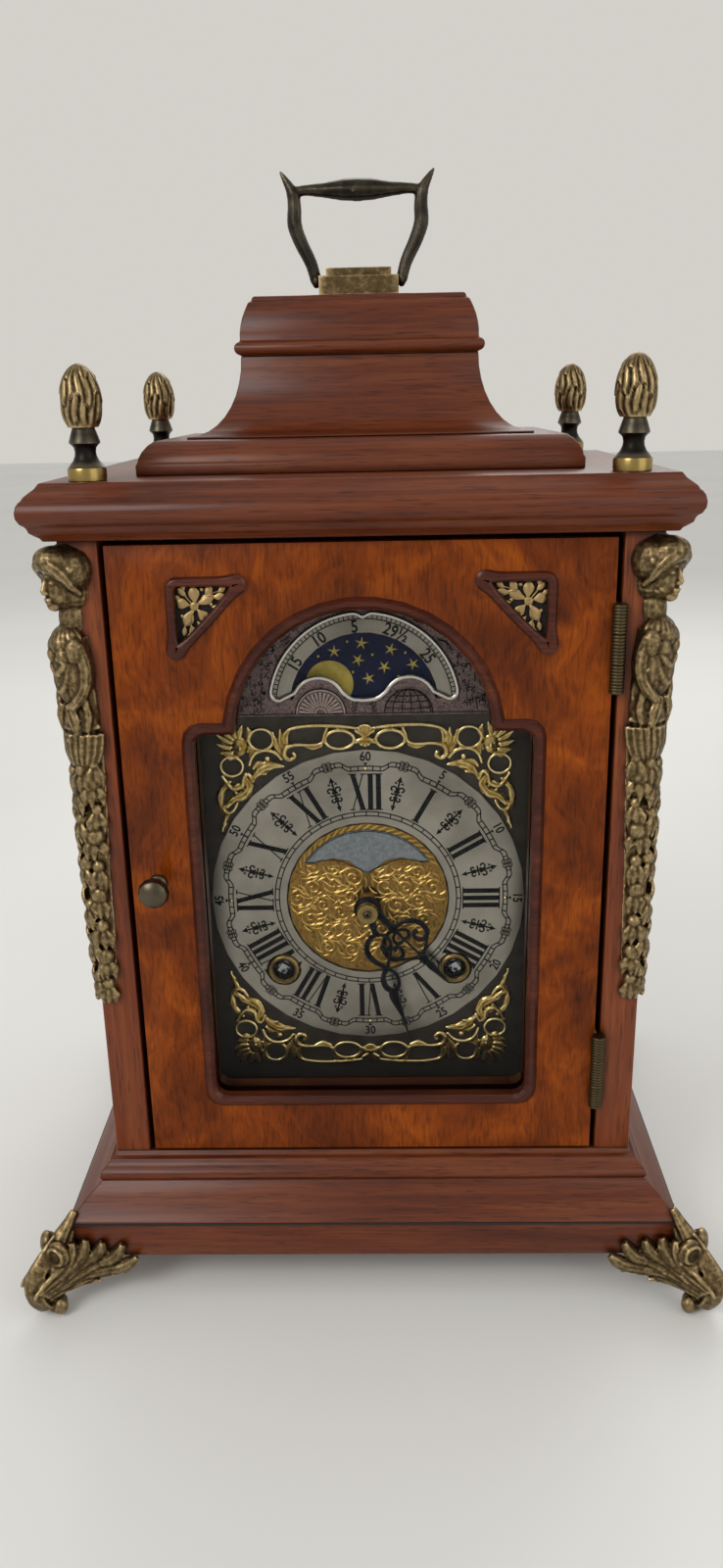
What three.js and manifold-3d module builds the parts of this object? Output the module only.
// Wooden table clock with a bell top, a break-arch door, a brass dial with the moon's age and a bail handle.
// Millimetres, +Z up, the front faces -Y, and the origin is on the table under the middle of the case.
import * as THREE from 'three';
import { mergeVertices } from 'three/addons/utils/BufferGeometryUtils.js';
import Module from 'manifold-3d';

const wasm = await Module();
wasm.setup();

// Case, from the table up
const caseDepth = 136.7;
const footClearance = 17.7;
const plinthHeight = 32.7;
const plinthProjection = 15.7;
const plinthLedge = 20;
const sideThickness = 8;
const postWidth = 12.2;
const boardThickness = 8;
const corniceHeight = 17;
const corniceProjection = 9.2;
const stepInset = 21.4;
const stepHeight = 10.3;
const stepRoundIn = 5.4;
const coveFootInset = 35.8;
const coveTopInset = 52.7;
const coveHeight = 25.5;
const coveFillet = 0.8;
const capHeight = 18.6;
const capDrawIn = 4.5;
const capBeadRadius = 2.1;
const capBeadRise = 2.4;

// Front door
const doorThickness = 14;
const doorGap = 1.9;
const doorFloorGap = 0.9;
const doorStileWidth = 19.7;
const doorSillHeight = 18.6;
const openingSideGap = 3;
const shoulderRadius = 6;
const shoulderWidth = 13;
const shoulderRise = 5.6;
const archCrownHeight = 18.4;
const beadWidth = 3.8;
const beadProud = 1.2;
const beadGap = 0.1;
const glassSetBack = 4.4;
const glassThickness = 2;
const backBeadDepth = 5;
const knobRadius = 5.2;
const knobReach = 12;
const knobInset = 8.7;
const knobRise = 16.4;

// Pierced brass triangles in the door's upper corners
const fretWidth = 25;
const fretHeight = 25.5;
const fretInset = 18.1;
const fretDrop = 10;
const fretRound = 3.2;
const fretLip = 2.3;
const fretLipProud = 0.8;
const fretPocket = 2;
const fretThickness = 1.2;
const fretRimWidth = 1.3;
const fretGap = 0.15;
const fretFlowerShare = 0.3;
const fretPetalShare = 0.17;

// Hinges of the front door and of the rear door
const hingeLength = 28;
const hingeRadius = 2.4;
const hingeLeaf = 0.6;
const hingeDepth = 10;
const hingePinRadius = 1;
const hingeUpperDrop = 35.4;
const hingeLowerRise = 33;
const rearHingeLength = 120;
const rearHingeRadius = 1.8;

// Rear door
const rearDoorThickness = 10;
const rearDoorGap = 1.8;
const rearKnobRadius = 4.5;
const rearKnobReach = 10;
const rearKnobInset = 12;

// Dial
const dialRecess = 22;
const dialPlateOverlap = 10;
const dialPlateFootOverlap = 3;
const dialPlateTopDrop = 9.2;
const dialPlateThickness = 1.5;
const dialFrameThickness = 8;
const dialFrameRail = 22;
const dialFloorGap = 14.4;
const dialArchGap = 10.4;
const dialFootRadius = 2.2;
const dialFootAcross = 80;
const dialFootDrop = 34;
const ringRadius = 55;
const ringWidth = 26.4;
const ringThickness = 1;
const centreDiscThickness = 0.7;
const centreHoleRadius = 4.6;
const windingInset = 13.8;
const windingTurn = 41.7;
const bushRadius = 6;
const bushBore = 3.7;
const bushProud = 0.9;
const plaqueTipInset = 4.3;
const plaqueFootRise = 9.4;
const plaqueRimWidth = 2.7;
const plaqueThickness = 0.8;
const spandrelInset = 4.8;
const spandrelThickness = 1.8;
const spandrelBarWidth = 1.3;

// Arch of the dial, with the moon's age
const archPlateThickness = 0.8;
const archPlateSideWidth = 5;
const archPlateRise = 1.6;
const archPlateOverlap = 1;
const moonAxisRise = 4.6;
const moonScaleInset = 13;
const lunarScaleWidth = 7;
const moonHumpPlaceShare = 0.475;
const moonHumpRadiusShare = 0.269;
const moonHumpRise = 1.6;
const moonFloorRise = 2.6;
const lunarScaleThickness = 0.5;
const moonDiscOverlap = 2.6;
const moonDiscThickness = 1;
const moonToothHeight = 1.1;
const moonTeeth = 59;
const moonStudRadius = 1.5;

// Hands
const hourHandInset = 12.4;
const minuteHandInset = 2.2;
const hourHandTurn = 137.4;
const minuteHandTurn = 164.3;
const handThickness = 0.9;
const hourHandLift = 3.8;
const minuteHandLift = 7.4;
const hourHubRadius = 4.2;
const minuteHubRadius = 3.5;
const nutRadius = 3.6;
const nutLength = 5.8;

// Movement
const movementWidth = 96;
const movementHeight = 98;
const movementDrop = 48.4;
const movementDepth = 32;
const movementPlate = 2;
const movementFrontBack = 13.35;
const pillarRadius = 3;
const pillarInset = 4.5;
const arborRadius = 1.2;
const cannonTeeth = 10;
const minuteWheelTeeth = 30;
const minutePinionTeeth = 8;
const hourWheelTeeth = 32;
const motionCentres = 18;
const motionWheelThickness = 1.4;
const motionLevelGap = 0.8;
const minutePipeRadius = 1.6;
const hourPipeRadius = 2.9;
const windingSquare = 3.4;
const windingArborRadius = 2.3;
const ratchetRadius = 9;
const ratchetTeeth = 12;
const drumRadius = 15;
const drumLength = 18;
const drumRimRadius = 16;
const drumRimWidth = 2;
const bellRadius = 28;
const bellHeight = 19;
const bellWallThickness = 1.5;
const bellLiftHeight = 14;
const bellSetBackDepth = 26;
const bellStandRadius = 2;
const hammerInset = 10;
const hammerDrop = 14;
const hammerHeadRadius = 3;
const hammerHeadLength = 8;
const hammerGap = 1.2;
const balanceRadius = 8;
const balanceRimWidth = 1.6;
const balanceAcross = 20;
const balanceDrop = 18;
const balanceCockReach = 9;

// Brass mounts outside
const finialHeight = 33.4;
const finialRadius = 6.3;
const finialSideInset = 10.2;
const finialFrontInset = 5.3;
const figureHeight = 156;
const figureReach = 6.4;
const headReach = 7.2;
const footReach = 19;
const footWidth = 9;
const footTop = 37.1;
const footWing = 24;
const footWingThickness = 2.6;
const footBossRadius = 2.6;
const plateWidth = 26.4;
const plateDepth = 14;
const plateHeight = 6.1;
const plateStepWidth = 21.6;
const plateStepDepth = 8;
const plateStepHeight = 2.6;
const bailWidth = 51.2;
const bailHeight = 34;
const bailThickness = 4.4;
const bailEdge = 1.1;
const bailEyeRadius = 2.2;
const bailGripRadius = 3.6;
const bailPinRadius = 1;
const bailPinReach = 4;
const bailPivotLift = 4.9;
const bailEyeWidth = 2.8;

// Clearances, one overrun for cuts and the weld of coincident corners
const fitGap = 0.3;
const runGap = 0.25;
const overrun = 3;
const weld = 0.0001;

// Steps of the round outlines
const archSteps = 15;
const cornerSteps = 3;
const petalSteps = 3;
const boreSides = 10;
const ringSteps = 16;

// Levels and faces worked out from the sizes
const openingHalf = ringRadius + openingSideGap;
const doorHalf = openingHalf + doorStileWidth;
const halfWidth = doorHalf + doorGap + postWidth;
const halfDepth = caseDepth / 2;
const widthLessDepth = 2 * (halfWidth - halfDepth);
const caseFoot = footClearance + plinthHeight;
const openingFloor = caseFoot + doorSillHeight;
const dialCentreHeight = openingFloor + dialFloorGap + ringRadius;
const archCentreHeight = dialCentreHeight + ringRadius + dialArchGap;
const archRadius = openingHalf - shoulderWidth;
const openingShoulder = archCentreHeight + shoulderRise;
const caseHead = archCentreHeight + archRadius + archCrownHeight;
const corniceTop = caseHead + corniceHeight;
const stepTop = corniceTop + stepHeight;
const coveTop = stepTop + coveHeight;
const capTop = coveTop + capHeight;
const frontFace = -halfDepth;
const innerHalf = halfWidth - sideThickness;
const doorFoot = caseFoot + doorFloorGap;
const doorHead = caseHead - doorGap;
const doorBack = frontFace + doorThickness;
const dialFace = frontFace + dialRecess;
const plateFace = dialFace + ringThickness;
const plateBack = plateFace + dialPlateThickness;
const moonFront = plateBack + fitGap;
const knobHeight = dialCentreHeight + knobRise;
const hingeUpperHeight = caseHead - hingeUpperDrop;
const hingeLowerHeight = caseFoot + hingeLowerRise;
const plateHalf = openingHalf + dialPlateOverlap;
const dialPlateFoot = openingFloor - dialPlateFootOverlap;
const dialPlateTop = caseHead - dialPlateTopDrop;
const ringInnerRadius = ringRadius - ringWidth;
const windingRadius = ringRadius - windingInset;
const windingAcross = 2 * windingRadius * Math.cos(windingTurn * Math.PI / 180);
const windingDrop = windingRadius * Math.sin(windingTurn * Math.PI / 180);
const plaqueTopRadius = ringInnerRadius - plaqueRimWidth;
const plaqueHalf = plaqueTopRadius - plaqueTipInset;
const spandrelHalf = ringRadius - spandrelInset;
const archPlateHalf = archRadius + archPlateSideWidth;
const archPlateFoot = archCentreHeight + archPlateRise;
const moonAxisHeight = archCentreHeight + moonAxisRise;
const moonScaleRadius = archRadius - moonScaleInset;
const moonWindowRadius = moonScaleRadius - lunarScaleWidth;
const moonHumpAcross = 2 * moonHumpPlaceShare * moonScaleRadius;
const moonHumpRadius = moonHumpRadiusShare * moonScaleRadius;
const moonHumpCentreHeight = moonAxisHeight + moonHumpRise;
const moonWindowFloor = moonAxisHeight + moonFloorRise;
const moonDiscRadius = moonWindowRadius + moonDiscOverlap;
const hourHandLength = ringRadius - hourHandInset;
const minuteHandLength = ringRadius - minuteHandInset;
const movementFront = dialFace + movementFrontBack;
const movementBack = movementFront + movementDepth;
const movementFoot = dialCentreHeight - movementDrop;
const movementHead = movementFoot + movementHeight;
const hammerAcross = movementWidth / 2 - hammerInset;
const bellY = movementBack + bellSetBackDepth;
const pivotHeight = capTop + bailPivotLift;
const minuteModule = 2 * motionCentres / (cannonTeeth + minuteWheelTeeth);
const hourModule = 2 * motionCentres / (minutePinionTeeth + hourWheelTeeth);

// Geometry helpers
function tidy(geometry) {
  const plain = geometry.clone();
  for (const name of Object.keys(plain.attributes)) {
    if (name !== 'position') plain.deleteAttribute(name);
  }
  const merged = mergeVertices(plain, weld);
  const corners = merged.index.array;
  const kept = [];
  for (let i = 0; i < corners.length; i += 3) {
    const [a, b, c] = [corners[i], corners[i + 1], corners[i + 2]];
    if (a !== b && b !== c && c !== a) kept.push(a, b, c);
  }
  merged.setIndex(kept);
  if (signedVolume(merged) < 0) turnInsideOut(merged);
  return merged;
}

function signedVolume(geometry) {
  const place = geometry.attributes.position;
  const corners = geometry.index.array;
  const [a, b, c] = [new THREE.Vector3(), new THREE.Vector3(), new THREE.Vector3()];
  let sum = 0;
  for (let i = 0; i < corners.length; i += 3) {
    a.fromBufferAttribute(place, corners[i]);
    b.fromBufferAttribute(place, corners[i + 1]);
    c.fromBufferAttribute(place, corners[i + 2]);
    sum += a.dot(b.cross(c));
  }
  return sum / 6;
}

function turnInsideOut(geometry) {
  const corners = Array.from(geometry.index.array);
  for (let i = 0; i < corners.length; i += 3) {
    [corners[i + 1], corners[i + 2]] = [corners[i + 2], corners[i + 1]];
  }
  geometry.setIndex(corners);
}

function toSolid(geometry) {
  const clean = tidy(geometry);
  return new wasm.Manifold(new wasm.Mesh({
    numProp: 3,
    vertProperties: new Float32Array(clean.attributes.position.array),
    triVerts: new Uint32Array(clean.index.array),
  }));
}

function toGeometry(solid) {
  const mesh = solid.getMesh();
  const geometry = new THREE.BufferGeometry();
  geometry.setAttribute('position', new THREE.BufferAttribute(new Float32Array(mesh.vertProperties), 3));
  geometry.setIndex(Array.from(mesh.triVerts));
  return geometry;
}

function join(first, ...others) {
  return toGeometry(others.reduce((sum, next) => sum.add(toSolid(next)), toSolid(first)));
}

function cut(body, ...tools) {
  return toGeometry(tools.reduce((rest, tool) => rest.subtract(toSolid(tool)), toSolid(body)));
}

function moved(geometry, x, y, z) {
  return geometry.clone().translate(x, y, z);
}

function mirrored(geometry) {
  return tidy(geometry.clone().scale(-1, 1, 1));
}

function block(x0, x1, y0, y1, z0, z1) {
  const box = new THREE.BoxGeometry(x1 - x0, y1 - y0, z1 - z0);
  return box.translate((x0 + x1) / 2, (y0 + y1) / 2, (z0 + z1) / 2);
}

// A flat outline drawn in x and z as seen from the front, made into a plate
function frontPlate(shape, face, thickness, roundSteps = 6, edge = 0) {
  const settings = { depth: thickness - 2 * edge, bevelEnabled: edge > 0, curveSegments: roundSteps };
  if (edge > 0) {
    Object.assign(settings, { bevelThickness: edge, bevelSize: edge, bevelOffset: -edge, bevelSegments: 1 });
  }
  const plate = new THREE.ExtrudeGeometry(shape, settings);
  return plate.rotateX(Math.PI / 2).translate(0, face + thickness - edge, 0);
}

function upright(shape, foot, height) {
  return new THREE.ExtrudeGeometry(shape, { depth: height, bevelEnabled: false }).translate(0, 0, foot);
}

// A profile of radius and height turned about Z
function turned(profile, segments) {
  const points = profile.map(([radius, height]) => new THREE.Vector2(radius, height));
  return tidy(new THREE.LatheGeometry(points, segments).rotateX(Math.PI / 2));
}

// The same about the Y axis, with the profile's height running towards the front
function turnedForward(profile, segments, x, y, z) {
  const points = profile.map(([radius, reach]) => new THREE.Vector2(radius, reach));
  return tidy(new THREE.LatheGeometry(points, segments).rotateX(Math.PI).translate(x, y, z));
}

function rod(radius, from, to, segments, x, z) {
  return turnedForward([[0, -to], [radius, -to], [radius, -from], [0, -from]], segments, x, 0, z);
}

// A profile of offset and height led round a rectangle with mitred corners, with flat ends or as a ring
function mitred(halfX, halfY, profile, ring) {
  const signs = [[1, 1], [-1, 1], [-1, -1], [1, -1]];
  const place = [];
  const corners = [];
  for (const [offset, height] of profile) {
    for (const [sx, sy] of signs) place.push(sx * (halfX + offset), sy * (halfY + offset), height);
  }
  const rows = ring ? profile.length : profile.length - 1;
  for (let row = 0; row < rows; row += 1) {
    const next = (row + 1) % profile.length;
    for (let k = 0; k < 4; k += 1) {
      const [a, b] = [row * 4 + k, row * 4 + (k + 1) % 4];
      const [c, d] = [next * 4 + (k + 1) % 4, next * 4 + k];
      corners.push(a, b, c, a, c, d);
    }
  }
  if (!ring) {
    const last = (profile.length - 1) * 4;
    corners.push(0, 2, 1, 0, 3, 2, last, last + 1, last + 2, last, last + 2, last + 3);
  }
  const geometry = new THREE.BufferGeometry();
  geometry.setAttribute('position', new THREE.Float32BufferAttribute(place, 3));
  geometry.setIndex(corners);
  return tidy(geometry);
}

function profileFromShares(shares, reach, foot, height) {
  return shares.map(([out, up]) => [out * reach, foot + up * height]);
}

// Closed loops of points joined into a body with a fan at each end
function loft(loops) {
  const count = loops[0].length;
  const place = loops.flat(2);
  const corners = [];
  for (let row = 0; row < loops.length - 1; row += 1) {
    for (let k = 0; k < count; k += 1) {
      const [a, b] = [row * count + k, row * count + (k + 1) % count];
      corners.push(a, b, b + count, a, b + count, a + count);
    }
  }
  for (const [row, turn] of [[0, 1], [loops.length - 1, -1]]) {
    const middle = place.length / 3;
    const sum = loops[row].reduce((s, p) => [s[0] + p[0], s[1] + p[1], s[2] + p[2]], [0, 0, 0]);
    place.push(sum[0] / count, sum[1] / count, sum[2] / count);
    for (let k = 0; k < count; k += 1) {
      const [a, b] = [row * count + k, row * count + (k + 1) % count];
      corners.push(...(turn > 0 ? [middle, b, a] : [middle, a, b]));
    }
  }
  const geometry = new THREE.BufferGeometry();
  geometry.setAttribute('position', new THREE.Float32BufferAttribute(place, 3));
  geometry.setIndex(corners);
  return tidy(geometry);
}

// A flat ribbon along a line of points, as wide as the widths say
function ribbon(points, widths) {
  const left = [];
  const right = [];
  points.forEach(([x, z], i) => {
    const before = points[Math.max(i - 1, 0)];
    const after = points[Math.min(i + 1, points.length - 1)];
    const along = Math.atan2(after[1] - before[1], after[0] - before[0]);
    const half = widths[i] / 2;
    left.push([x - half * Math.sin(along), z + half * Math.cos(along)]);
    right.unshift([x + half * Math.sin(along), z - half * Math.cos(along)]);
  });
  return new THREE.Shape([...left, ...right].map(([x, z]) => new THREE.Vector2(x, z)));
}

// Points of a scroll that winds in from a start angle
function scrollPoints(x, z, outer, inner, start, sweep, steps) {
  return Array.from({ length: steps + 1 }, (_, i) => {
    const share = i / steps;
    const angle = start + sweep * share;
    const radius = outer + (inner - outer) * share;
    return [x + radius * Math.cos(angle), z + radius * Math.sin(angle)];
  });
}

function taper(count, wide, narrow) {
  return Array.from({ length: count }, (_, i) => wide + (narrow - wide) * i / (count - 1));
}

function round(x, z, radius) {
  return new THREE.Shape().absarc(x, z, radius, 0, 2 * Math.PI, false);
}

// A hole whose flats lie on the true circle, so that what fits the circle fits the hole
function withHole(shape, x, z, radius, sides = boreSides) {
  const reach = radius / Math.cos(Math.PI / sides);
  shape.holes.push(new THREE.Path(arcPoints(x, z, reach, 0, 2 * Math.PI, sides).slice(1)));
  return shape;
}

function arcPoints(x, z, radius, from, to, steps) {
  return Array.from({ length: steps + 1 }, (_, i) => {
    const angle = from + (to - from) * i / steps;
    return new THREE.Vector2(x + radius * Math.cos(angle), z + radius * Math.sin(angle));
  });
}

// A rectangle with a round arch on two rounded shoulders, drawn inwards by a distance
function breakArch(inward, PathKind = THREE.Shape) {
  const corner = shoulderRadius - inward / 2;
  const x = openingHalf - inward - corner;
  const low = openingFloor + inward + corner;
  const high = openingShoulder - inward - corner;
  const radius = archRadius - inward;
  const spring = Math.asin((high + corner - archCentreHeight) / radius);
  const quarter = Math.PI / 2;
  return new PathKind([
    ...arcPoints(x, low, corner, -quarter, 0, cornerSteps),
    ...arcPoints(x, high, corner, 0, quarter, cornerSteps),
    ...arcPoints(0, archCentreHeight, radius, spring, Math.PI - spring, archSteps),
    ...arcPoints(-x, high, corner, quarter, 2 * quarter, cornerSteps),
    ...arcPoints(-x, low, corner, 2 * quarter, 3 * quarter, cornerSteps),
  ]);
}

// Plinth, case and top
function plinthProfile() {
  const outlineShares = [[1, 0], [1, 0.395], [0.975, 0.425], [0.93, 0.45], [0.62, 0.61], [0.33, 0.722],
    [0.318, 0.735], [0.357, 0.752], [0.365, 0.786], [0.338, 0.822], [0.312, 0.842], [0.235, 0.868],
    [0.18, 0.9], [0.153, 0.934], [0.04, 0.95], [0, 1]];
  return profileFromShares(outlineShares, plinthProjection, footClearance, plinthHeight);
}

function basePlinth() {
  const inner = [[-plinthLedge, caseFoot], [-plinthLedge, footClearance]];
  return mitred(halfWidth, halfDepth, [...plinthProfile(), ...inner], true);
}

function bottomBoard() {
  return block(-innerHalf, innerHalf, doorBack + fitGap, halfDepth - rearDoorThickness - fitGap,
    caseFoot, caseFoot + boardThickness);
}

function caseSideLeft() {
  const postBack = doorBack + fitGap;
  const postEdge = -halfWidth + postWidth;
  const outline = [[-halfWidth, frontFace], [postEdge, frontFace], [postEdge, postBack], [-innerHalf, postBack],
    [-innerHalf, halfDepth], [-halfWidth, halfDepth]];
  return upright(new THREE.Shape(outline.map(([x, y]) => new THREE.Vector2(x, y))), caseFoot, caseHead - caseFoot);
}

function topCornice() {
  const outlineShares = [[0.36, 0], [0.42, 0.06], [0.58, 0.12], [0.69, 0.17], [0.74, 0.25], [0.8, 0.29],
    [0.9, 0.33], [0.985, 0.42], [1, 0.52], [0.95, 0.63], [0.86, 0.7], [0.79, 0.72], [0.76, 0.77],
    [0.6, 0.84], [0.45, 0.9], [0.35, 0.97], [0.315, 1]];
  const profile = profileFromShares(outlineShares, corniceProjection, caseHead, corniceHeight);
  return mitred(halfWidth, halfDepth, profile, false);
}

function caddyStep() {
  const half = halfWidth - stepInset;
  const roundShares = [[0, 0], [0, 0.33], [-0.1, 0.38], [-0.14, 0.5], [-0.35, 0.7], [-0.66, 0.88], [-1, 1]];
  return mitred(half, half - widthLessDepth / 2,
    profileFromShares(roundShares, stepRoundIn, corniceTop, stepHeight), false);
}

function caddyCove() {
  const half = halfWidth - coveTopInset;
  const sweep = halfWidth - coveFootInset - half - coveFillet;
  const rise = coveHeight - coveFillet;
  const steps = 9;
  const curve = Array.from({ length: steps + 1 }, (_, i) => {
    const angle = i / steps * Math.PI / 2;
    return [sweep * (1 - Math.sin(angle)), coveTop - rise * Math.cos(angle)];
  });
  const profile = [[sweep + coveFillet, stepTop], [sweep + coveFillet, stepTop + coveFillet], ...curve];
  return mitred(half, half - widthLessDepth / 2, profile, false);
}

function caddyCap() {
  const half = halfWidth - coveTopInset;
  const steps = 6;
  const bead = Array.from({ length: steps + 1 }, (_, i) => {
    const angle = (i / steps - 0.5) * 0.9 * Math.PI;
    return [capBeadRadius * Math.cos(angle) * 0.95, coveTop + capBeadRise + capBeadRadius * Math.sin(angle)];
  });
  const cushionShares = [[0.02, 0.27], [0.02, 0.38], [-0.05, 0.5], [-0.18, 0.63], [-0.38, 0.76], [-0.6, 0.88],
    [-0.7, 0.9], [-0.84, 0.91], [-0.88, 0.96], [-1, 1]];
  const cushion = profileFromShares(cushionShares, capDrawIn, coveTop, capHeight);
  return mitred(half, half - widthLessDepth / 2, [[0, coveTop], ...bead, ...cushion], false);
}

// Front door with its bead, glass, frets, knob and hinges
function doorFrame() {
  const outline = new THREE.Shape();
  outline.moveTo(-doorHalf, doorFoot);
  outline.lineTo(doorHalf, doorFoot);
  outline.lineTo(doorHalf, doorHead);
  outline.lineTo(-doorHalf, doorHead);
  outline.holes.push(breakArch(0, THREE.Path));
  const leaf = frontPlate(outline, frontFace, doorThickness, archSteps);
  const lip = fretTriangle(0);
  lip.holes.push(fretTriangle(fretLip, THREE.Path));
  const lipDepth = fretLipProud + fretPocket;
  const lipRing = frontPlate(lip, frontFace - fretLipProud, lipDepth, petalSteps);
  const pocket = frontPlate(fretTriangle(fretLip), frontFace - overrun, overrun + fretPocket, petalSteps);
  const withLips = join(leaf, lipRing, mirrored(lipRing));
  return cut(withLips, pocket, mirrored(pocket));
}

// The fret's triangle in the left upper corner, with its long side drawn in along the arch
function fretTriangle(inward, PathKind = THREE.Shape) {
  const left = -doorHalf + fretInset + inward;
  const head = doorHead - fretDrop - inward;
  const right = left + fretWidth - 3.1 * inward;
  const foot = head - fretHeight + 3.1 * inward;
  const r = fretRound - inward / 2;
  const path = new PathKind();
  path.moveTo(left, foot + r);
  path.quadraticCurveTo(left, foot - r / 2, left + r, foot + r / 2);
  path.quadraticCurveTo(left + fretWidth / 2, head - fretHeight / 2 + inward, right - r / 2, head - r);
  path.quadraticCurveTo(right + r / 2, head, right - r, head);
  path.lineTo(left + r, head);
  path.quadraticCurveTo(left, head, left, head - r);
  path.closePath();
  return path;
}

function fretLeft() {
  const face = frontFace + fretPocket - fretThickness;
  const inset = fretLip + fretGap;
  const rim = fretTriangle(inset);
  rim.holes.push(fretTriangle(inset + fretRimWidth, THREE.Path));
  const left = -doorHalf + fretInset + fretLip;
  const head = doorHead - fretDrop - fretLip;
  const flowerX = left + fretFlowerShare * fretWidth;
  const flowerZ = head - fretFlowerShare * fretHeight;
  const petalLength = fretPetalShare * fretWidth;
  const pieces = [rim, round(flowerX, flowerZ, petalLength * 0.3)];
  for (let k = 0; k < 5; k += 1) {
    const angle = Math.PI * (0.75 + 2 * k / 5);
    const out = petalLength * 0.55;
    const petal = new THREE.Shape();
    petal.absellipse(flowerX + out * Math.cos(angle), flowerZ + out * Math.sin(angle), petalLength * 0.52,
      petalLength * 0.27, 0, 2 * Math.PI, false, angle);
    pieces.push(petal);
  }
  const stemShares = [
    [[0.3, 0.3], [0.5, 0.13], [0.7, 0.02]],
    [[0.3, 0.3], [0.13, 0.5], [0.02, 0.7]],
    [[0.3, 0.3], [0.15, 0.15], [0.02, 0.02]]];
  for (const shares of stemShares) {
    const points = shares.map(([x, z]) => [left + x * fretWidth, head - z * fretHeight]);
    pieces.push(ribbon(points, taper(points.length, fretRimWidth * 1.3, fretRimWidth * 0.8)));
  }
  const inside = frontPlate(fretTriangle(inset), face - overrun, fretThickness + 2 * overrun, petalSteps);
  const whole = join(...pieces.map((shape) => frontPlate(shape, face, fretThickness, petalSteps)));
  return toGeometry(toSolid(whole).intersect(toSolid(inside)));
}

function doorMoulding() {
  const ring = breakArch(beadGap);
  ring.holes.push(breakArch(beadWidth, THREE.Path));
  return frontPlate(ring, frontFace - beadProud, beadProud + glassSetBack, archSteps, beadWidth * 0.3);
}

function doorGlass() {
  return frontPlate(breakArch(fitGap), frontFace + glassSetBack, glassThickness, archSteps);
}

function glazingBead() {
  const ring = breakArch(beadGap);
  ring.holes.push(breakArch(beadWidth, THREE.Path));
  return frontPlate(ring, frontFace + glassSetBack + glassThickness, backBeadDepth, archSteps);
}

function knob(radius, reach) {
  const shares = [[0, 0], [0.62, 0], [0.62, 0.1], [0.38, 0.18], [0.38, 0.42], [0.92, 0.58], [1, 0.7],
    [0.9, 0.87], [0.5, 0.97], [0, 1]];
  return shares.map(([out, up]) => [out * radius, up * reach]);
}

function hinge(radius, length, foot, axisX, axisY, wallX, towards, knuckles, pinned, leafDepth) {
  const into = Math.sign(leafDepth);
  const barrelFoot = foot + length * knuckles[0][0];
  const pieces = [];
  const leafX = [wallX, wallX + towards * hingeLeaf].sort((a, b) => a - b);
  const faceY = axisY + into * (radius + fitGap / 2);
  const leafY = [faceY, faceY + leafDepth].sort((a, b) => a - b);
  const tabY = [axisY, axisY + into * (radius + hingeLeaf)].sort((a, b) => a - b);
  pieces.push(block(leafX[0], leafX[1], leafY[0], leafY[1], foot, foot + length));
  for (const [from, to] of knuckles) {
    const low = foot + from * length + (from > 0 ? runGap / 2 : 0);
    const high = foot + to * length - (to < 1 ? runGap / 2 : 0);
    const sleeve = new THREE.CylinderGeometry(radius, radius, high - low, 10).rotateX(Math.PI / 2);
    pieces.push(moved(sleeve, axisX, axisY, (low + high) / 2));
    pieces.push(block(leafX[0], leafX[1], tabY[0], tabY[1], low, high));
  }
  if (pinned) {
    const pin = new THREE.CylinderGeometry(hingePinRadius, hingePinRadius, length, 8).rotateX(Math.PI / 2);
    return join(...pieces, moved(pin, axisX, axisY, foot + length / 2));
  }
  const boreRadius = hingePinRadius + fitGap;
  const bore = new THREE.CylinderGeometry(boreRadius, boreRadius, length, 8).rotateX(Math.PI / 2);
  return cut(join(...pieces), moved(bore, axisX, axisY, barrelFoot + length / 2 - knuckles[0][0] * length));
}

const outerKnuckleShares = [[0, 0.33], [0.67, 1]];
const innerKnuckleShares = [[0.33, 0.67]];
const hingeAxisX = doorHalf + doorGap / 2;
const hingeAxisY = frontFace - hingeRadius - fitGap / 2;
const rearHingeAxisX = innerHalf - rearDoorGap / 2;
const rearHingeAxisY = halfDepth + rearHingeRadius + fitGap / 2;

function frontHinge(height, onCase) {
  const wall = onCase ? doorHalf + doorGap : doorHalf;
  return hinge(hingeRadius, hingeLength, height - hingeLength / 2, hingeAxisX, hingeAxisY, wall,
    onCase ? -1 : 1, onCase ? outerKnuckleShares : innerKnuckleShares, onCase, hingeDepth);
}

function rearHinge(onCase) {
  const wall = onCase ? innerHalf : innerHalf - rearDoorGap;
  const foot = (caseFoot + caseHead - rearHingeLength) / 2;
  return hinge(rearHingeRadius, rearHingeLength, foot, rearHingeAxisX, rearHingeAxisY, wall,
    onCase ? -1 : 1, onCase ? outerKnuckleShares : innerKnuckleShares, onCase, -rearDoorThickness * 0.8);
}

function rearDoor() {
  return block(-innerHalf + rearDoorGap / 2, innerHalf - rearDoorGap, halfDepth - rearDoorThickness, halfDepth,
    caseFoot + rearDoorGap, caseHead - rearDoorGap);
}

// Dial
function dialFrame() {
  const outline = new THREE.Shape();
  const foot = caseFoot + boardThickness;
  outline.moveTo(-innerHalf, foot);
  outline.lineTo(innerHalf, foot);
  outline.lineTo(innerHalf, caseHead);
  outline.lineTo(-innerHalf, caseHead);
  const half = innerHalf - dialFrameRail;
  const hole = new THREE.Path();
  hole.moveTo(-half, foot + dialFrameRail / 2);
  hole.lineTo(half, foot + dialFrameRail / 2);
  hole.lineTo(half, dialPlateTop - dialFrameRail / 2);
  hole.lineTo(-half, dialPlateTop - dialFrameRail / 2);
  outline.holes.push(hole);
  return frontPlate(outline, plateBack, dialFrameThickness);
}

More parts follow.
